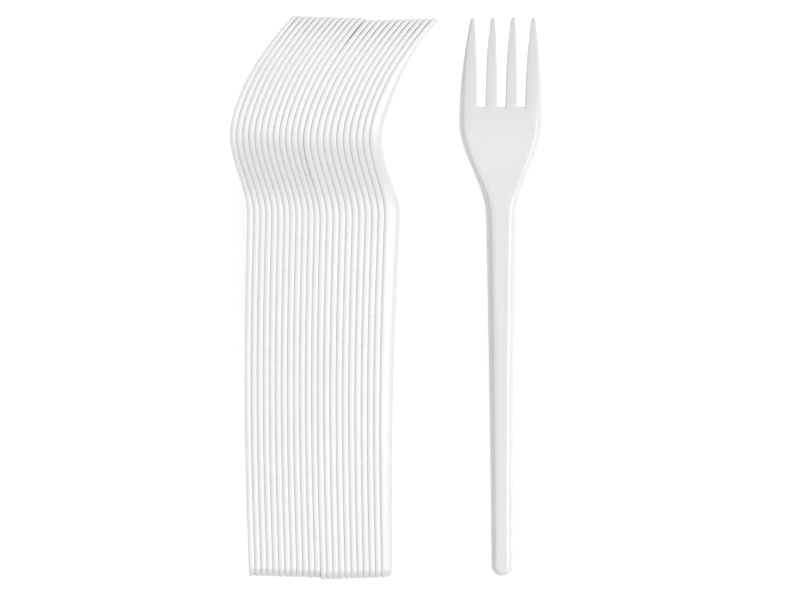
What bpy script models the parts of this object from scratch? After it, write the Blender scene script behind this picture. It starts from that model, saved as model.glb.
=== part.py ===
"""A pack of disposable moulded plastic forks: a nested stack on its long side, and one fork beside it.

Every fork is one thin moulding: a flat face with a drafted flange down the handle and round the head,
and four bare tines that sweep forward. A fork is drawn lying face up, with the end of its handle at the
origin, its length along +Y and its face towards +Z. The forks nest along that +Z.
"""

import bmesh
import bpy
from math import atan2, cos, pi, radians, sin
from mathutils import Vector

# Outline of the fork, in metres
FORK_LENGTH = 0.165
HANDLE_END_WIDTH = 0.0066
NECK_WIDTH = 0.0093
HEAD_WIDTH = 0.0249
TINES_END_WIDTH = 0.0189
HEAD_SIDE_LENGTH = 0.0300     # from the widest place to the tips
SHOULDER_LENGTH = 0.0276      # from the neck to the widest place
HANDLE_FLARE = 1.6            # power of the handle's taper: 1 is straight

# Tines
TINE_COUNT = 4
TINE_LENGTH = 0.0255
TINE_PITCH = 0.0059
ROOT_GAP = 0.0024
TIP_GAP = 0.0046
GAP_FLARE = 2.6               # power of the gap's widening: the tines narrow mostly near their tips
ROOT_CORNER = 0.0007
TINE_DRAFT = 0.0004           # the face is narrower than the back by this much on each side
TIP_LENGTH = 0.0012
TIP_FLAT = 0.0006

# Side view: the line of the rim, measured from the handle's end
HANDLE_BOW = 0.0010
HEAD_DROP = 0.0045
NECK_FALL_LENGTH = 0.0230
HEAD_BOTTOM_LENGTH = 0.0345   # from the lowest place of the head to the tips
TIP_RISE = 0.0184
TINE_SWEEP = 1.68             # power of the sweep: 1 is a straight ramp

# Wall and flange
WALL = 0.0013                 # measured along the nesting direction
END_DEPTH = 0.0033
NECK_DEPTH = 0.0047
HEAD_DEPTH = 0.0037
DEPTH_EASE_LENGTH = 0.0140    # the stretch past the neck in which the flange gets shallower
FLANGE_FADE_LENGTH = 0.0250   # the stretch of the outer tines in which the flange runs out
END_RUN = 0.0021
NECK_RUN = 0.0026
HEAD_RUN = 0.0022
SHOULDER_RUN_SHARE = 0.36     # the flange has a steep wall and a softer shoulder above it
SHOULDER_RISE_SHARE = 0.66

# The pack
BACK_FORKS = 12
FRONT_FORKS = 11
BACK_GAP = 0.00047            # free space between two nested forks, along the nesting direction
FRONT_GAP = 0.0005
SPLIT_GAP = 0.0002            # the tightest place between the two halves of the stack
BACK_CREEP = 0.00005          # each fork lies this much nearer its handle than the one behind it
FRONT_SLIP = 0.00055          # the front half has slid this far towards its handles
FRONT_CREEP = 0.00006         # and each fork of it lies this much further back up than the one before
FRONT_FAN = radians(0.045)    # and is turned by this much to the one before
SINGLE_SPACING = 0.0069       # clear space between the stack and the single fork
SINGLE_SLIP = 0.0003          # the single fork's handle ends this far past that of the first one
SINGLE_TURN = radians(0.2)    # its tines lean towards the stack

# Fineness of the faceted surface
END_ROWS = 2
HANDLE_ROWS = 3
SHOULDER_ROWS = 5
TINE_ROWS = 3
SMOOTH_ANGLE = radians(25)    # edges that bend more than this stay crisp

STEEPEST_EASE = 1.5           # slope of the soft S of ease() at its middle

neck_y = FORK_LENGTH - HEAD_SIDE_LENGTH - SHOULDER_LENGTH
widest_y = FORK_LENGTH - HEAD_SIDE_LENGTH
root_y = FORK_LENGTH - TINE_LENGTH
bottom_y = FORK_LENGTH - HEAD_BOTTOM_LENGTH
fall_y = bottom_y - NECK_FALL_LENGTH


def clear_scene():
    for obj in list(bpy.data.objects):
        bpy.data.objects.remove(obj, do_unlink=True)


def ease(y, start, end):
    """0 before start, 1 after end, with a soft S between them."""
    t = min(max((y - start) / (end - start), 0.0), 1.0)
    return t * t * (3 - 2 * t)


def blend(a, b, share):
    return a + (b - a) * share


def half_width(y):
    """Half the outline's width: a flared handle, an S to the head, and an arc to the tips."""
    if y > widest_y:
        along = (y - widest_y) / HEAD_SIDE_LENGTH
        return blend(HEAD_WIDTH, TINES_END_WIDTH, along ** 2) / 2
    flare = (min(y, neck_y) / neck_y) ** HANDLE_FLARE
    handle = blend(HANDLE_END_WIDTH, NECK_WIDTH, flare)
    return blend(handle, HEAD_WIDTH, ease(y, neck_y, widest_y)) / 2


def rim_height(y):
    """Side view of the rim: the handle's bow, the fall to the head, and the sweep to the tips."""
    bow = -HANDLE_BOW * sin(pi * min(y, fall_y) / fall_y)
    fall = -HEAD_DROP * ease(y, fall_y, bottom_y)
    along = max(y - bottom_y, 0.0) / HEAD_BOTTOM_LENGTH
    return bow + fall + TIP_RISE * along ** TINE_SWEEP


def flange_depth(y):
    """From the rim to the face. The flange runs out on the outer tines, where only the wall is left."""
    handle = blend(END_DEPTH, NECK_DEPTH, min(y, fall_y) / fall_y)
    depth = blend(handle, HEAD_DEPTH, ease(y, fall_y, fall_y + DEPTH_EASE_LENGTH))
    return blend(depth, WALL, ease(y, root_y, root_y + FLANGE_FADE_LENGTH))


def flange_run(y):
    """How far the flange leans in between the rim and the face."""
    handle = blend(END_RUN, NECK_RUN, min(y, fall_y) / fall_y)
    run = blend(handle, HEAD_RUN, ease(y, fall_y, fall_y + DEPTH_EASE_LENGTH))
    return blend(run, TINE_DRAFT, max(y - root_y, 0.0) / TINE_LENGTH)


def face_height(y):
    return rim_height(y) + flange_depth(y)


def gap_width(y):
    """Clear width between two tines, at their back."""
    along = max(y - root_y, 0.0) / TINE_LENGTH
    return blend(ROOT_GAP, TIP_GAP, along ** GAP_FLARE)


def skin_vert(bm, front, back):
    """A point of the front skin, which keeps the place of the point behind it for the extrusion."""
    vert = bm.verts.new(front)
    vert[bm.verts.layers.float_vector["back"]] = back
    return vert


def face_vert(bm, x, y, draft_x=0.0, draft_y=0.0):
    """A point of the flat face. Its back may stand out past it, sideways or along the fork."""
    back = (x + draft_x, y + draft_y, face_height(y + draft_y) - WALL)
    return skin_vert(bm, (x, y, face_height(y)), back)


def flange_verts(bm, place, y):
    """Rim, shoulder and face edge at one station. place turns a distance from the rim into (x, y).

    The back of the rim lies on the line from the rim to the next point, so that the rim ends flat.
    """
    run, depth = flange_run(y), flange_depth(y)
    shoulder_run = run * SHOULDER_RUN_SHARE
    shoulder_rise = depth * SHOULDER_RISE_SHARE
    rim = Vector((*place(0.0), rim_height(y)))
    shoulder = Vector((*place(shoulder_run), rim_height(y) + shoulder_rise))
    face = Vector((*place(run), face_height(y)))
    down = Vector((0.0, 0.0, WALL))
    top, rise = (shoulder, shoulder_rise) if shoulder_rise > WALL else (face, depth)
    rim_back = rim + (top - rim) * (WALL / rise) - down
    return [
        skin_vert(bm, rim, rim_back),
        skin_vert(bm, shoulder, shoulder - down),
        skin_vert(bm, face, face - down),
    ]


def end_row(bm, angle):
    """A row of the handle's round end: the angle runs from the tip of the handle, 0, to its side."""
    radius = HANDLE_END_WIDTH / 2

    def place(side):
        return lambda inset: (side * (radius - inset) * sin(angle), radius - (radius - inset) * cos(angle))

    left = flange_verts(bm, place(-1), radius)
    if angle == 0.0:
        return left + left[::-1]
    return left + flange_verts(bm, place(1), radius)[::-1]


def straight_row(bm, y):
    """A row across the handle or the head, from the left rim to the right one."""
    left = flange_verts(bm, lambda inset: (inset - half_width(y), y), y)
    right = flange_verts(bm, lambda inset: (half_width(y) - inset, y), y)
    return left + right[::-1]


def join_rows(bm, row, next_row):
    """Faces between two rows. Points that coincide give a triangle."""
    for i in range(len(row) - 1):
        corners = dict.fromkeys((row[i], row[i + 1], next_row[i + 1], next_row[i]))
        if len(corners) > 2:
            bm.faces.new(list(corners))


def gap_root(bm, centre):
    """The closed end of one gap, from left to right: its corners are cut off."""
    back_half = ROOT_GAP / 2
    front_half = back_half + TINE_DRAFT
    front_y = root_y - TINE_DRAFT
    corner_y = front_y + ROOT_CORNER
    return [
        face_vert(bm, centre - front_half, corner_y, TINE_DRAFT),
        face_vert(bm, centre - front_half + ROOT_CORNER, front_y, TINE_DRAFT, TINE_DRAFT),
        face_vert(bm, centre + front_half - ROOT_CORNER, front_y, -TINE_DRAFT, TINE_DRAFT),
        face_vert(bm, centre + front_half, corner_y, -TINE_DRAFT),
    ]


def tine_stations(start):
    """Rows of a tine after its root, with how much of its width each has."""
    end = FORK_LENGTH - TIP_LENGTH
    rows = [(blend(start, end, i / TINE_ROWS), 0.0) for i in range(1, TINE_ROWS + 1)]
    return rows + [(FORK_LENGTH, 1.0)]


def tine_edges(y, pointed, low, high):
    """Both back edges of a tine between x = low and x = high, drawn in at its very tip."""
    middle = (low + high) / 2
    return blend(low, middle - TIP_FLAT / 2, pointed), blend(high, middle + TIP_FLAT / 2, pointed)


def inner_tine(bm, root, left_gap, right_gap):
    """A tine between two gaps, from the two points of its root."""
    for y, pointed in tine_stations(root[0].co.y):
        half_gap = gap_width(y) / 2
        low, high = tine_edges(y, pointed, left_gap + half_gap, right_gap - half_gap)
        draft = min(TINE_DRAFT, (high - low) / 4)
        row = [face_vert(bm, low + draft, y, -draft), face_vert(bm, high - draft, y, draft)]
        join_rows(bm, root, row)
        root = row


def outer_tine(bm, root, side, gap):
    """A tine at one side of the head, from its rim to the gap. side is -1 or 1."""
    for y, pointed in tine_stations(root[-1].co.y):
        inner = side * gap + gap_width(y) / 2
        inner, outer = tine_edges(y, pointed, inner, half_width(y))
        draft = min(TINE_DRAFT, (outer - inner) / 4)
        run = min(flange_run(y), (outer - inner) / 4)
        depth = flange_depth(y)
        rim = Vector((side * outer, y, rim_height(y)))
        face = Vector((side * (outer - run), y, face_height(y)))
        down = Vector((0.0, 0.0, WALL))
        rim_vert = skin_vert(bm, rim, rim + (face - rim) * min(WALL / depth, 1.0) - down)
        edge_vert = skin_vert(bm, face, face - down)
        gap_vert = face_vert(bm, side * (inner + draft), y, -side * draft)
        row = [rim_vert, edge_vert, edge_vert, gap_vert]
        join_rows(bm, root, row)
        root = row


def gap_centres():
    return [(i - (TINE_COUNT - 2) / 2) * TINE_PITCH for i in range(TINE_COUNT - 1)]


def head_top(bm, last_row):
    """The last stretch of the head, with the roots of all gaps in it, and the tines."""
    centres = gap_centres()
    roots = [gap_root(bm, centre) for centre in centres]
    row = straight_row(bm, roots[0][0].co.y)
    join_rows(bm, last_row[:3], row[:3])
    join_rows(bm, last_row[3:], row[3:])
    edge = [row[2]] + [vert for root in roots for vert in root] + [row[3]]
    bm.faces.new([last_row[3], last_row[2]] + edge)

    outer_tine(bm, row[:3] + [roots[0][0]], -1, centres[0])
    outer_tine(bm, row[:2:-1] + [roots[-1][3]], 1, centres[-1])
    for i in range(len(roots) - 1):
        inner_tine(bm, [roots[i][3], roots[i + 1][0]], centres[i], centres[i + 1])


def front_skin(bm):
    """The fork's front, from the round end of the handle to the tips, as one open sheet."""
    radius = HANDLE_END_WIDTH / 2
    angles = [i * pi / 2 / END_ROWS for i in range(END_ROWS)]
    handle = [blend(radius, neck_y, i / HANDLE_ROWS) for i in range(HANDLE_ROWS)]
    shoulder = [blend(neck_y, widest_y, i / SHOULDER_ROWS) for i in range(SHOULDER_ROWS + 1)]
    rows = [end_row(bm, angle) for angle in angles]
    rows += [straight_row(bm, y) for y in handle + shoulder]
    for row, next_row in zip(rows, rows[1:]):
        join_rows(bm, row, next_row)
    head_top(bm, rows[-1])


def thicken(bm):
    """Extrudes the front skin back through the wall, so that every fork nests in the next."""
    back = bm.verts.layers.float_vector["back"]
    extruded = bmesh.ops.extrude_face_region(bm, geom=bm.faces[:])
    for item in extruded["geom"]:
        if isinstance(item, bmesh.types.BMVert):
            item.co = item[back]
    bmesh.ops.remove_doubles(bm, verts=bm.verts, dist=1e-6)
    bmesh.ops.dissolve_degenerate(bm, edges=bm.edges, dist=1e-7)
    bmesh.ops.recalc_face_normals(bm, faces=bm.faces)


def fork_mesh():
    bm = bmesh.new()
    bm.verts.layers.float_vector.new("back")
    front_skin(bm)
    thicken(bm)
    mesh = bpy.data.meshes.new("fork")
    bm.to_mesh(mesh)
    bm.free()
    mesh.shade_smooth()
    mesh.set_sharp_from_angle(angle=SMOOTH_ANGLE)
    mesh.materials.append(polystyrene())
    return mesh


def polystyrene():
    material = bpy.data.materials.new("white_polystyrene")
    material.use_nodes = True
    shader = material.node_tree.nodes["Principled BSDF"]
    shader.inputs["Base Color"].default_value = (0.86, 0.86, 0.86, 1.0)
    shader.inputs["Roughness"].default_value = 0.35
    shader.inputs["Metallic"].default_value = 0.0
    return material


def resting_tilt(points):
    """Angle about X that lays a side view, given as (y, z) points, on its two points of rest."""
    middle = sum(y for y, z in points) / len(points)
    foot = min(points)
    while True:
        ahead = [point for point in points if point[0] > foot[0] + 1e-6]
        toe = min(ahead, key=lambda point: (point[1] - foot[1]) / (point[0] - foot[0]))
        if toe[0] > middle:
            return -atan2(toe[1] - foot[1], toe[0] - foot[0])
        foot = toe


def place_fork(mesh, name, parent, quarter_turn, tilt, fan, x, y):
    """A fork that touches z = 0. quarter_turn lays it on its side, with its face towards +X."""
    fork = bpy.data.objects.new(name, mesh)
    bpy.context.scene.collection.objects.link(fork)
    fork.rotation_mode = "YXZ"
    fork.rotation_euler = (tilt, quarter_turn, -fan)
    lowest = min((fork.matrix_basis @ vert.co).z for vert in mesh.vertices)
    fork.location = (x, y, -lowest)
    fork.parent = parent
    return fork


def split_step():
    """Distance between the two halves. Sliding down the falling neck takes some of the gap away."""
    rim_fall = STEEPEST_EASE * HEAD_DROP / NECK_FALL_LENGTH
    depth_fall = STEEPEST_EASE * (NECK_DEPTH - HEAD_DEPTH) / DEPTH_EASE_LENGTH
    return WALL + SPLIT_GAP + FRONT_SLIP * (rim_fall + depth_fall)


def stack(mesh, parent):
    """The nested forks, on their long sides. The first half is straight, the other slid and fanned."""
    tilt = resting_tilt([(vert.co.y, -vert.co.x) for vert in mesh.vertices])
    places = [(i * (WALL + BACK_GAP), -i * BACK_CREEP, 0.0) for i in range(BACK_FORKS)]
    front_x = places[-1][0] + split_step()
    front_y = places[-1][1] - FRONT_SLIP
    for i in range(FRONT_FORKS):
        places.append((front_x + i * (WALL + FRONT_GAP), front_y + i * FRONT_CREEP, i * FRONT_FAN))
    return [
        place_fork(mesh, f"stack_fork_{number:02d}", parent, pi / 2, tilt, fan, x, y)
        for number, (x, y, fan) in enumerate(places, start=1)
    ]


def corners(forks):
    """Lowest and highest corner of some forks, before their parent moves them."""
    points = [fork.matrix_basis @ vert.co for fork in forks for vert in fork.data.vertices]
    low = Vector([min(point[axis] for point in points) for axis in range(3)])
    high = Vector([max(point[axis] for point in points) for axis in range(3)])
    return low, high


def build_pack():
    clear_scene()
    pack = bpy.data.objects.new("pack", None)
    bpy.context.scene.collection.objects.link(pack)
    mesh = fork_mesh()
    forks = stack(mesh, pack)

    tilt = resting_tilt([(vert.co.y, vert.co.z) for vert in mesh.vertices])
    single_x = corners(forks)[1].x + SINGLE_SPACING + HEAD_WIDTH / 2
    forks.append(place_fork(mesh, "single_fork", pack, 0.0, tilt, -SINGLE_TURN, single_x, -SINGLE_SLIP))

    low, high = corners(forks)
    pack.location = (-(low.x + high.x) / 2, -(low.y + high.y) / 2, -low.z)


build_pack()
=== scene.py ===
# A pack of disposable forks: every packed fork becomes one smooth, softened moulding, seated where
# its rough solid lies. The pack is lit by a soft studio light and seen from straight above.
from math import asin, cos, pi, radians, sin, sqrt

import bmesh
import bpy
import numpy as np
from mathutils import Matrix, Vector


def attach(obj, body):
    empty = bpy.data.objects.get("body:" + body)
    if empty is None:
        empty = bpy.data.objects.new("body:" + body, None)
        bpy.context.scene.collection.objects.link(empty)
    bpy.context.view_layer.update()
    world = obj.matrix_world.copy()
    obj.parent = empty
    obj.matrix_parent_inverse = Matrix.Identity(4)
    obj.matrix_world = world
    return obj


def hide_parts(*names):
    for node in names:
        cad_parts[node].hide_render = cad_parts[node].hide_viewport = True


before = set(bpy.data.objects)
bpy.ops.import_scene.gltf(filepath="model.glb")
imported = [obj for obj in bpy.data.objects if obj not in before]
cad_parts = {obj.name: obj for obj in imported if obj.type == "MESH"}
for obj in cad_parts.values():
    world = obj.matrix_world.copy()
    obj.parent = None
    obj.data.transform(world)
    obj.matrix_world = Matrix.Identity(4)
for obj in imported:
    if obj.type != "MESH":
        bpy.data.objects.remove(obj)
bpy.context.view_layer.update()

# One fork, in metres, drawn face up: handle end at the origin, tines towards +Y, face towards +Z
fork = {
    "length": 0.165,
    "handleEndWidth": 0.0066,
    "neckWidth": 0.0093,
    "headWidth": 0.0249,
    "tinesEndWidth": 0.0189,
    "headSideLength": 0.0300,     # from the widest place to the tips
    "shoulderLength": 0.0276,     # from the neck to the widest place
    "handleFlare": 1.6,           # 1 is a straight taper
    "tineLength": 0.0255,
    "tinePitch": 0.0059,
    "rootGap": 0.0024,
    "tipGap": 0.0046,
    "gapFlare": 2.6,              # the tines narrow mostly near their tips
    "rootCorner": 0.0007,
    "tineDraft": 0.0004,          # the back of a tine is wider than its face by this much a side
    "tipDraft": 0.0002,           # the same at the tips
    "tipDraftLength": 0.0120,
    "tineCrown": 0.00015,         # how far the middle of a tine's face stands above its sides
    "tipRadius": 0.0011,
    "tipRoundness": 0.94,         # 1 is a full half circle
    "handleBow": 0.0010,
    "headDrop": 0.0045,
    "neckFallLength": 0.0230,
    "headBottomLength": 0.0345,   # from the lowest place of the head to the tips
    "tipRise": 0.0184,
    "tineSweep": 1.68,
    "wall": 0.0013,               # along the direction in which the forks nest
    "tineWall": 0.0016,           # the wall at the tines, where it is thicker
    "endDepth": 0.0033,
    "neckDepth": 0.0047,
    "headDepth": 0.0037,
    "depthEaseLength": 0.0140,
    "flangeFadeLength": 0.0250,
    "endRun": 0.0021,
    "neckRun": 0.0026,
    "headRun": 0.0022,
    "rimWall": 0.00150,           # the wall just above the rim, a little thicker too
    "rimSnap": 0.0002,            # the back of the flange keeps no narrower strip than this above the rim
    "rimRounding": 0.0012,        # how far up the wall the rounded outer corner of the rim reaches
    "rimLand": 0.00003,           # what stays flat of the rim inside that corner
    "rimSwell": 0.00018,          # the section is drawn this much wider, because its corner is rounded off
    "edgeRadius": 0.00008,
    "sharpEdge": radians(38),     # edges that turn more than this are softened
    "uprightEdge": 0.8,           # apart from those that rise more steeply than this
}
neckY = fork["length"] - fork["headSideLength"] - fork["shoulderLength"]
widestY = fork["length"] - fork["headSideLength"]
rootY = fork["length"] - fork["tineLength"]
bottomY = fork["length"] - fork["headBottomLength"]
fallY = bottomY - fork["neckFallLength"]
endRadius = fork["handleEndWidth"] / 2
frontEndY = fork["length"] - fork["tipDraft"]
frontRootY = rootY - fork["tineDraft"]

# Section of the flange, in shares of its run and depth: a steep wall that rolls over into the flat face
shoulder = {
    "start": 1.04,
    "pull": 0.54,
    "endRun": 0.34,
    "endRise": 0.66,
    "roundingLimit": 0.8,         # how much of the wall the rim's rounding may take
}

# How finely a fork is cut up: rows in each stretch, and steps round its curves
cuts = {
    "handle": 16,
    "shoulder": 14,
    "head": 5,
    "tines": 11,
    "tips": 3,
    "flange": 4,
    "rim": 5,
    "roundEnd": 7,
    "corner": 3,
}
touching = 1e-6         # points nearer to each other than this are one


def ease(y, start, end):
    t = min(max((y - start) / (end - start), 0.0), 1.0)
    return t * t * (3 - 2 * t)


def mix(a, b, share):
    return a + (b - a) * share


def halfWidth(y):
    if y > widestY:
        along = (y - widestY) / fork["headSideLength"]
        return mix(fork["headWidth"], fork["tinesEndWidth"], along ** 2) / 2
    flare = (min(y, neckY) / neckY) ** fork["handleFlare"]
    handle = mix(fork["handleEndWidth"], fork["neckWidth"], flare)
    return mix(handle, fork["headWidth"], ease(y, neckY, widestY)) / 2


def wallThickness(y):
    return mix(fork["wall"], fork["tineWall"], ease(y, rootY, rootY + fork["flangeFadeLength"] / 2))


def rimHeight(y):
    bow = -fork["handleBow"] * sin(pi * min(y, fallY) / fallY)
    fall = -fork["headDrop"] * ease(y, fallY, bottomY)
    along = max(y - bottomY, 0.0) / fork["headBottomLength"]
    thicker = wallThickness(y) - fork["wall"]
    return bow + fall + fork["tipRise"] * along ** fork["tineSweep"] - thicker


def flangeDepth(y):
    handle = mix(fork["endDepth"], fork["neckDepth"], min(y, fallY) / fallY)
    depth = mix(handle, fork["headDepth"], ease(y, fallY, fallY + fork["depthEaseLength"]))
    faded = mix(depth, fork["wall"], ease(y, rootY, rootY + fork["flangeFadeLength"]))
    return faded + wallThickness(y) - fork["wall"]


def flangeRun(y):
    handle = mix(fork["endRun"], fork["neckRun"], min(y, fallY) / fallY)
    run = mix(handle, fork["headRun"], ease(y, fallY, fallY + fork["depthEaseLength"]))
    return mix(run, fork["tineDraft"], max(y - rootY, 0.0) / fork["tineLength"])


def faceHeight(y):
    return rimHeight(y) + flangeDepth(y)


def gapWidth(y):
    along = max(y - rootY, 0.0) / fork["tineLength"]
    return mix(fork["rootGap"], fork["tipGap"], along ** fork["gapFlare"])


def draft(y):           # how much wider the back of a tine is than its face, on each side
    return mix(fork["tineDraft"], fork["tipDraft"], ease(y, frontEndY - fork["tipDraftLength"], frontEndY))


def tipShare(y):        # how much of its width a tine still has: 1, and less in the last millimetre
    along = max((y - frontEndY) / fork["tipRadius"] + 1, 0.0)
    return sqrt(1 - (min(along, 1.0) * fork["tipRoundness"]) ** 2)


def stations():         # the places along the fork at which the sheet has a row of points
    stops = [endRadius, neckY, widestY, frontRootY, frontEndY - fork["tipRadius"]]
    ys = [stops[0]]
    for start, stop, name in zip(stops, stops[1:], ("handle", "shoulder", "head", "tines")):
        ys += [mix(start, stop, i / cuts[name]) for i in range(1, cuts[name] + 1)]
    turn = asin(fork["tipRoundness"]) / cuts["tips"]
    tips = [sin(i * turn) / fork["tipRoundness"] for i in range(1, cuts["tips"] + 1)]
    return ys + [mix(stops[-1], frontEndY, along) for along in tips]


def faceColumns(y):     # from the fork's middle to the edge of its flat face
    edge = halfWidth(y) - flangeRun(y) * shoulder["start"]
    even = [edge * i / 6 for i in range(7)]
    halfGap = gapWidth(y) / 2 + draft(y)
    near, far = fork["tinePitch"] - halfGap, fork["tinePitch"] + halfGap
    tined = [0.0, halfGap, (halfGap + near) / 2, near, far, (far + edge) / 2, edge]
    blend = ease(y, neckY, rootY)
    columns = [mix(a, b, blend) for a, b in zip(even, tined)]
    inner, outer = columns[2], (far + halfWidth(y)) / 2
    for i in (1, 3):
        columns[i] = mix(inner, columns[i], tipShare(y))
    for i in (4, 5, 6):
        columns[i] = mix(outer, columns[i], tipShare(y))
    return columns


# How far in from the rim, as a share of the run. s is 0 at the flat face and 1 where the wall starts
def rollInset(s):
    return (1 - s) ** 2 * shoulder["start"] + 2 * s * (1 - s) * shoulder["pull"] + s * s * shoulder["endRun"]


def rollHeight(s):      # above the rim, as a share of the depth
    return 1 - s * s * (1 - shoulder["endRise"])


def insetAtHeight(height):      # the same section, the other way round
    if height < shoulder["endRise"]:
        return shoulder["endRun"] * height / shoulder["endRise"]
    return rollInset(sqrt((1 - min(height, 1.0)) / (1 - shoulder["endRise"])))


def rimInset(y):                # how wide the underside of the rim is, as a share of the run
    return insetAtHeight(fork["rimWall"] / flangeDepth(y))


def rimRounding(y, s):          # round the outer corner of the rim, from the wall, 0, to its underside, 1
    start = min(fork["rimRounding"] / flangeDepth(y), shoulder["endRise"] * shoulder["roundingLimit"])
    under = max(rimInset(y) - fork["rimLand"] / flangeRun(y), 0.0)
    turned = s * pi / 2
    return insetAtHeight(start) * (1 - sin(turned)) + under * (1 - cos(turned)), start * (1 - sin(turned))


def flangeX(y, inset):          # the place across the fork of a point of the flange
    outer = halfWidth(y)
    middle = (fork["tinePitch"] + gapWidth(y) / 2 + draft(y) + outer) / 2
    swell = mix(fork["rimSwell"], 0.0, ease(y, rootY, fork["length"]))
    return mix(middle, outer + swell - flangeRun(y) * inset, tipShare(y))


def faceSheet(bm):      # half of the flat front face, with the gaps between the tines cut out of it
    ys, columns = stations(), 6
    grid = bmesh.ops.create_grid(bm, x_segments=columns, y_segments=len(ys) - 1, size=1.0)
    rootRow = cuts["handle"] + cuts["shoulder"] + cuts["head"]

    def cell(point):
        return (point.x + 1) / 2 * columns, (point.y + 1) / 2 * (len(ys) - 1)

    cut = []
    for face in bm.faces:
        column, row = cell(face.calc_center_median())
        if row > rootRow and int(column) in (0, 3):
            cut.append(face)
    bmesh.ops.delete(bm, geom=cut, context="FACES")
    edge = []
    for vert in bm.verts:
        column, row = [round(place) for place in cell(vert.co)]
        y = ys[row]
        crowned = ease(y, rootY - fork["tineLength"] / 3, rootY) if column in (2, 5) else 0.0
        vert.co = (faceColumns(y)[column], y, faceHeight(y) + fork["tineCrown"] * crowned)
        if column == columns:
            edge.append(vert)
    return edge


def addFlange(bm, edge):        # rolls the edge of the face over and down to the rim, step by step
    line = [e for e in bm.edges if all(vert in edge for vert in e.verts)]
    rolls = [("roll", i / cuts["flange"]) for i in range(1, cuts["flange"] + 1)]
    rounds = [("rim", i / cuts["rim"]) for i in range(cuts["rim"] + 1)]
    for stage, s in rolls + rounds:
        new = bmesh.ops.extrude_edge_only(bm, edges=line)["geom"]
        line = [item for item in new if isinstance(item, bmesh.types.BMEdge)]
        for vert in {vert for e in line for vert in e.verts}:
            y = vert.co.y
            inset, height = (rollInset(s), rollHeight(s)) if stage == "roll" else rimRounding(y, s)
            vert.co = (flangeX(y, inset), y, rimHeight(y) + flangeDepth(y) * height)


def roundHandleEnd(bm):
    section = [e for e in bm.edges if all(abs(vert.co.y - endRadius) < touching for vert in e.verts)]
    bmesh.ops.spin(bm, geom=section, cent=(0, endRadius, 0), axis=(0, 0, 1), angle=-pi / 2,
                   steps=cuts["roundEnd"], use_merge=False)
    bmesh.ops.remove_doubles(bm, verts=bm.verts, dist=touching)


def roundGapRoots(bm):
    corners = []
    for vert in bm.verts:
        up = [e for e in vert.link_edges if e.is_boundary and e.other_vert(vert).co.y > vert.co.y + touching]
        atRoot = abs(vert.co.y - frontRootY) < touching and abs(vert.co.z - faceHeight(vert.co.y)) < touching
        if up and atRoot:
            corners.append(vert)
    bmesh.ops.bevel(bm, geom=corners, offset=fork["rootCorner"], segments=cuts["corner"], profile=0.5,
                    affect="VERTICES", material=-1)


def outwards(vert):     # the direction, seen from above, in which an open border faces
    total = Vector((0, 0, 0))
    for e in vert.link_edges:
        if e.is_boundary:
            face = e.link_faces[0]
            along = (e.verts[1].co - e.verts[0].co).normalized()
            side = along.cross(Vector((0, 0, 1)))
            middle = (e.verts[0].co + e.verts[1].co) / 2
            total += side if side.dot(middle - face.calc_center_median()) > 0 else -side
    total.z = 0.0
    return total.normalized()


def backPoint(vert):    # where the back of the wall lies behind a point of the front
    centre = Vector((0, max(vert.co.y, endRadius), 0))
    y = centre.y
    low = vert.co.z - rimHeight(y) < fork["rimWall"] + fork["rimSnap"]
    if low and vert.co.z < faceHeight(y) - touching:
        centre.z = vert.co.z            # low on the flange the back is cut off flat, level with the rim
        place = centre + (vert.co - centre).normalized() * flangeX(y, rimInset(y))
        ahead = draft(y) if y > frontEndY - touching else 0.0
        return Vector((place.x, place.y + ahead, rimHeight(y)))
    place = vert.co - Vector((0, 0, wallThickness(y)))
    return place + outwards(vert) * draft(y) if vert.is_boundary else place


def thicken(bm):        # the back is the front moved along the nesting direction, so that forks nest
    back = bm.verts.layers.float_vector.new("back")
    places = [(vert, backPoint(vert)) for vert in bm.verts]
    for vert, place in places:
        vert[back] = place
    for item in bmesh.ops.extrude_face_region(bm, geom=bm.faces[:])["geom"]:
        if isinstance(item, bmesh.types.BMVert):
            item.co = item[back]
    bmesh.ops.remove_doubles(bm, verts=bm.verts, dist=touching)
    bmesh.ops.dissolve_degenerate(bm, edges=bm.edges, dist=touching / 10)
    bmesh.ops.recalc_face_normals(bm, faces=bm.faces)


def softenEdges(bm):
    sharp = []
    for e in bm.edges:
        upright = abs((e.verts[1].co - e.verts[0].co).normalized().z) > fork["uprightEdge"]
        if e.calc_face_angle() > fork["sharpEdge"] and not upright:
            sharp.append(e)
    bmesh.ops.bevel(bm, geom=sharp, offset=fork["edgeRadius"], segments=2, profile=0.5, affect="EDGES",
                    clamp_overlap=True, material=-1)


def mouldFork():
    bm = bmesh.new()
    edge = faceSheet(bm)
    addFlange(bm, edge)
    roundHandleEnd(bm)
    bmesh.ops.mirror(bm, geom=bm.verts[:] + bm.edges[:] + bm.faces[:], axis="X", merge_dist=touching)
    roundGapRoots(bm)
    thicken(bm)
    softenEdges(bm)
    mesh = bpy.data.meshes.new("fork")
    bm.to_mesh(mesh)
    bm.free()
    mesh.shade_smooth()
    return keepFlats(mesh)


def keepFlats(mesh):    # turns the normals so that wide faces look flat and only narrow ones look round
    sample = bpy.data.objects.new("fork_sample", mesh)
    bpy.context.scene.collection.objects.link(sample)
    sample.modifiers.new("weighted_normals", "WEIGHTED_NORMAL")
    depsgraph = bpy.context.evaluated_depsgraph_get()
    shaded = bpy.data.meshes.new_from_object(sample.evaluated_get(depsgraph), depsgraph=depsgraph)
    bpy.data.objects.remove(sample)
    return shaded


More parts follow.
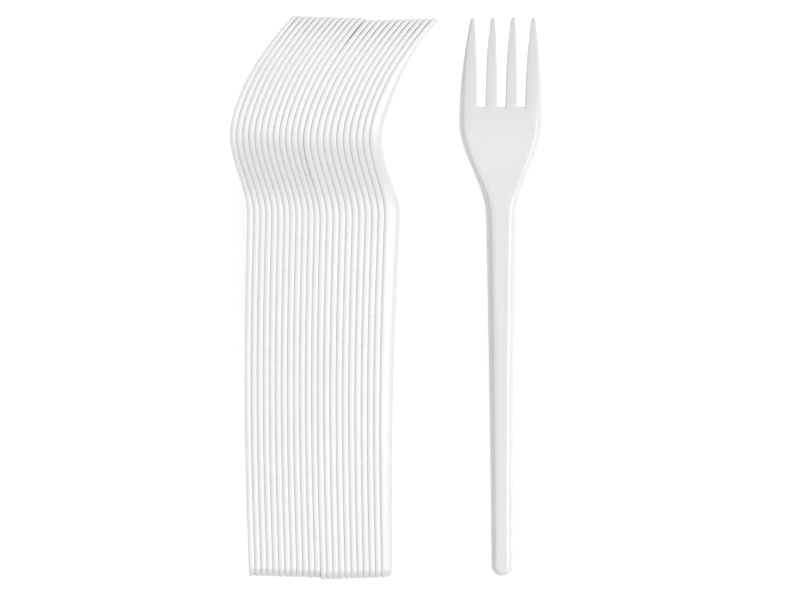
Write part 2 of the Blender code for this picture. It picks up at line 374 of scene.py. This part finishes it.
# Where a packed fork lies: the matrix that takes the fork drawn above to its place. The solid's middle and
# spread are summed over the tetrahedra that its triangles make with one point
def placeOf(mesh):
    points = np.array([vert.co for vert in mesh.vertices], dtype=float)
    start = points.mean(0)
    mesh.calc_loop_triangles()
    corners = (points - start)[np.array([triangle.vertices for triangle in mesh.loop_triangles])]
    volumes = np.einsum("ij,ij->i", corners[:, 0], np.cross(corners[:, 1], corners[:, 2])) / 6
    sums = corners.sum(1)
    centre = volumes @ sums / volumes.sum() / 4
    spread = np.einsum("i,ijk,ijl->kl", volumes, corners, corners)
    spread = spread + np.einsum("i,ik,il->kl", volumes, sums, sums)
    spread = spread / volumes.sum() / 20 - np.outer(centre, centre)
    face, _, along = np.linalg.eigh(spread)[1].T       # a fork is long, less wide, and least thick
    places = points - start - centre
    reached = places @ along
    along = along * -np.sign(reached[np.argmax(np.abs(reached))])       # the handle's end is farthest
    reached = places @ face
    face = face * np.sign(reached[np.argmax(np.abs(reached))])          # the tips stand out most
    end = places[np.argmin(places @ along)]
    reach = places[np.argmax(places @ (along + face))] - end
    drawnEnd = np.array([0.0, 0.0, rimHeight(endRadius)])
    drawnTip = np.array([0.0, fork["length"], faceHeight(fork["length"])])
    turn = np.arctan2(reach @ face, reach @ along) - np.arctan2(drawnTip[2] - drawnEnd[2], drawnTip[1])
    straight = along * np.cos(turn) + face * np.sin(turn)
    axes = np.column_stack([np.cross(along, face), straight, face * np.cos(turn) - along * np.sin(turn)])
    end = end - axes[:, 0] * (end @ axes[:, 0])        # the middle of the handle's end
    origin = start + centre + end - axes @ drawnEnd
    return Matrix.Translation(origin) @ Matrix(axes.tolist()).to_4x4()


def seatFork(mesh, node):       # a copy of the moulding in the place of one packed fork
    name = node.replace("stack_fork", "stacked_fork").replace("single_fork", "loose_fork")
    copy = mesh.copy()
    copy.name = name
    copy.transform(placeOf(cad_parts[node].data))
    piece = bpy.data.objects.new(name, copy)
    bpy.context.scene.collection.objects.link(piece)
    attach(piece, "root")
    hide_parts(node)
    return piece


# White polystyrene, injection moulded in a polished tool: near white and even, a satin gloss with soft
# highlights, faint waves where the wall sank as it cooled, and a little light coming through thin edges
plastic = {
    "colour": "F8F8F8",
    "shade": "F5F5F5",            # where the melt ran a little thicker
    "ior": 1.59,
    "roughness": (0.22, 0.34),
    "through": 0.12,              # share of light that spreads under the surface
    "depth": 0.0004,
    "cloudSize": 0.022,
    "sinkSize": 0.008,
    "sinkHeight": 0.00003,
    "grainSize": 0.00035,         # drawn coarser than the real polish marks, which are too fine to show
    "grainHeight": 0.0000012,
}


def linear(hexColour):      # sRGB hex to the linear colour that the shaders take
    values = [int(hexColour[i:i + 2], 16) / 255 for i in (0, 2, 4)]
    return [v / 12.92 if v <= 0.04045 else ((v + 0.055) / 1.055) ** 2.4 for v in values] + [1.0]


def addNode(tree, kind, settings=None, links=None):
    node = tree.nodes.new(kind)
    for name, value in (settings or {}).items():
        if name in node.inputs:
            node.inputs[name].default_value = value
        else:
            setattr(node, name, value)
    for name, source in (links or {}).items():
        tree.links.new(source, node.inputs[name])
    return node


def whitePolystyrene():
    material = bpy.data.materials.new("injection_moulded_white_polystyrene")
    material.use_nodes = True
    tree = material.node_tree
    tree.nodes.clear()
    place = addNode(tree, "ShaderNodeTexCoord").outputs["Object"]
    clouds = addNode(tree, "ShaderNodeTexNoise", {"Scale": 1 / plastic["cloudSize"], "Detail": 2.0},
                     {"Vector": place})
    colour = addNode(tree, "ShaderNodeMix", {"data_type": "RGBA"})
    colour.inputs[6].default_value = linear(plastic["colour"])
    colour.inputs[7].default_value = linear(plastic["shade"])
    tree.links.new(clouds.outputs["Fac"], colour.inputs["Factor"])
    low, high = plastic["roughness"]
    gloss = addNode(tree, "ShaderNodeMapRange", {"To Min": low, "To Max": high}, {"Value": clouds.outputs["Fac"]})
    sink = addNode(tree, "ShaderNodeTexNoise", {"Scale": 1 / plastic["sinkSize"], "Detail": 1.0},
                   {"Vector": place})
    grain = addNode(tree, "ShaderNodeTexNoise", {"Scale": 1 / plastic["grainSize"], "Detail": 2.0},
                    {"Vector": place})
    waves = addNode(tree, "ShaderNodeBump", {"Distance": plastic["sinkHeight"]}, {"Height": sink.outputs["Fac"]})
    skin = addNode(tree, "ShaderNodeBump", {"Distance": plastic["grainHeight"]},
                   {"Height": grain.outputs["Fac"], "Normal": waves.outputs["Normal"]})
    shader = addNode(tree, "ShaderNodeBsdfPrincipled", {
        "IOR": plastic["ior"],
        "Subsurface Weight": plastic["through"],
        "Subsurface Radius": (1.0, 1.0, 1.0),
        "Subsurface Scale": plastic["depth"],
    }, {"Base Color": colour.outputs[2], "Roughness": gloss.outputs["Result"], "Normal": skin.outputs["Normal"]})
    addNode(tree, "ShaderNodeOutputMaterial", links={"Surface": shader.outputs["BSDF"]})
    return material


# A pale sweep under a broad soft lamp from the right, in a studio that is brighter beyond the tines
studio = {
    "cameraAbove": 0.750,
    "cameraX": 0.0033,
    "cameraY": -0.0001,
    "lens": 113.31,
    "sensor": 36.0,
    "nearSide": 0.29,             # light from the room, from the side of the handles' ends
    "farSide": 0.58,              # and from the side of the tines
    "lampSize": (0.6, 1.5),       # across, and along the forks
    "lampAway": 1.5,
    "lampLean": radians(31),      # from straight above, towards the right
    "lampTurn": radians(-3),      # from the right, towards the tines
    "lampPower": 12.5,
    "floorSize": 8.0,
    "floor": "EAEAEA",
    "floorLift": 0.68,            # what the camera sees of it besides its own shading, up to white
}


def shownRays(tree):        # 1 for what the camera sees, straight on, mirrored or through glass
    path = addNode(tree, "ShaderNodeLightPath")
    total = path.outputs["Is Camera Ray"]
    for name in ("Is Glossy Ray", "Is Transmission Ray"):
        step = addNode(tree, "ShaderNodeMath", {"operation": "MAXIMUM"})
        tree.links.new(total, step.inputs[0])
        tree.links.new(path.outputs[name], step.inputs[1])
        total = step.outputs[0]
    return total


def layFloor():
    bm = bmesh.new()
    bmesh.ops.create_grid(bm, x_segments=1, y_segments=1, size=studio["floorSize"] / 2)
    mesh = bpy.data.meshes.new("floor")
    bm.to_mesh(mesh)
    bm.free()
    floor = bpy.data.objects.new("floor", mesh)
    bpy.context.scene.collection.objects.link(floor)
    material = bpy.data.materials.new("pale_sweep")
    material.use_nodes = True
    tree = material.node_tree
    tree.nodes.clear()
    matt = addNode(tree, "ShaderNodeBsdfDiffuse", {"Color": linear(studio["floor"])})
    lift = addNode(tree, "ShaderNodeMath", {"operation": "MULTIPLY"})
    tree.links.new(shownRays(tree), lift.inputs[0])
    lift.inputs[1].default_value = studio["floorLift"]
    glow = addNode(tree, "ShaderNodeEmission", links={"Strength": lift.outputs[0]})
    both = addNode(tree, "ShaderNodeAddShader")
    tree.links.new(matt.outputs[0], both.inputs[0])
    tree.links.new(glow.outputs[0], both.inputs[1])
    addNode(tree, "ShaderNodeOutputMaterial", links={"Surface": both.outputs[0]})
    mesh.materials.append(material)


def lightRoom():
    world = bpy.data.worlds.new("studio")
    bpy.context.scene.world = world
    world.use_nodes = True
    tree = world.node_tree
    tree.nodes.clear()
    place = addNode(tree, "ShaderNodeTexCoord").outputs["Generated"]
    side = addNode(tree, "ShaderNodeSeparateXYZ", links={"Vector": place}).outputs["Y"]
    level = addNode(tree, "ShaderNodeMapRange",
                    {"From Min": -1.0, "To Min": studio["nearSide"], "To Max": studio["farSide"]}, {"Value": side})
    shown = addNode(tree, "ShaderNodeMath", {"operation": "MAXIMUM"})
    tree.links.new(level.outputs["Result"], shown.inputs[0])
    tree.links.new(shownRays(tree), shown.inputs[1])
    room = addNode(tree, "ShaderNodeBackground", {"Color": (1, 1, 1, 1)}, {"Strength": shown.outputs[0]})
    addNode(tree, "ShaderNodeOutputWorld", links={"Surface": room.outputs[0]})
    lamp = bpy.data.lights.new("softbox", "AREA")
    lamp.shape = "RECTANGLE"
    lamp.size, lamp.size_y = studio["lampSize"]
    lamp.energy = studio["lampPower"]
    softbox = bpy.data.objects.new("softbox", lamp)
    bpy.context.scene.collection.objects.link(softbox)
    turn = Matrix.Rotation(studio["lampTurn"], 4, "Z") @ Matrix.Rotation(studio["lampLean"], 4, "Y")
    softbox.matrix_world = turn @ Matrix.Translation((0, 0, studio["lampAway"]))


def placeCamera():
    camera = bpy.data.objects.new("camera", bpy.data.cameras.new("camera"))
    bpy.context.scene.collection.objects.link(camera)
    camera.data.sensor_fit = "HORIZONTAL"
    camera.data.sensor_width = studio["sensor"]
    camera.data.lens = studio["lens"]
    camera.location = (studio["cameraX"], studio["cameraY"], studio["cameraAbove"])
    bpy.context.scene.camera = camera


print("scene: loaded", len(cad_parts), "forks")
moulding = mouldFork()
moulding.materials.append(whitePolystyrene())
print("scene: moulded a fork of", len(moulding.polygons), "faces")
for nodeName in sorted(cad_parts):
    seatFork(moulding, nodeName)
print("scene: seated the forks")
layFloor()
lightRoom()
placeCamera()
bpy.context.scene.view_settings.view_transform = "Standard"
print("scene: floor, lights and camera are in place")
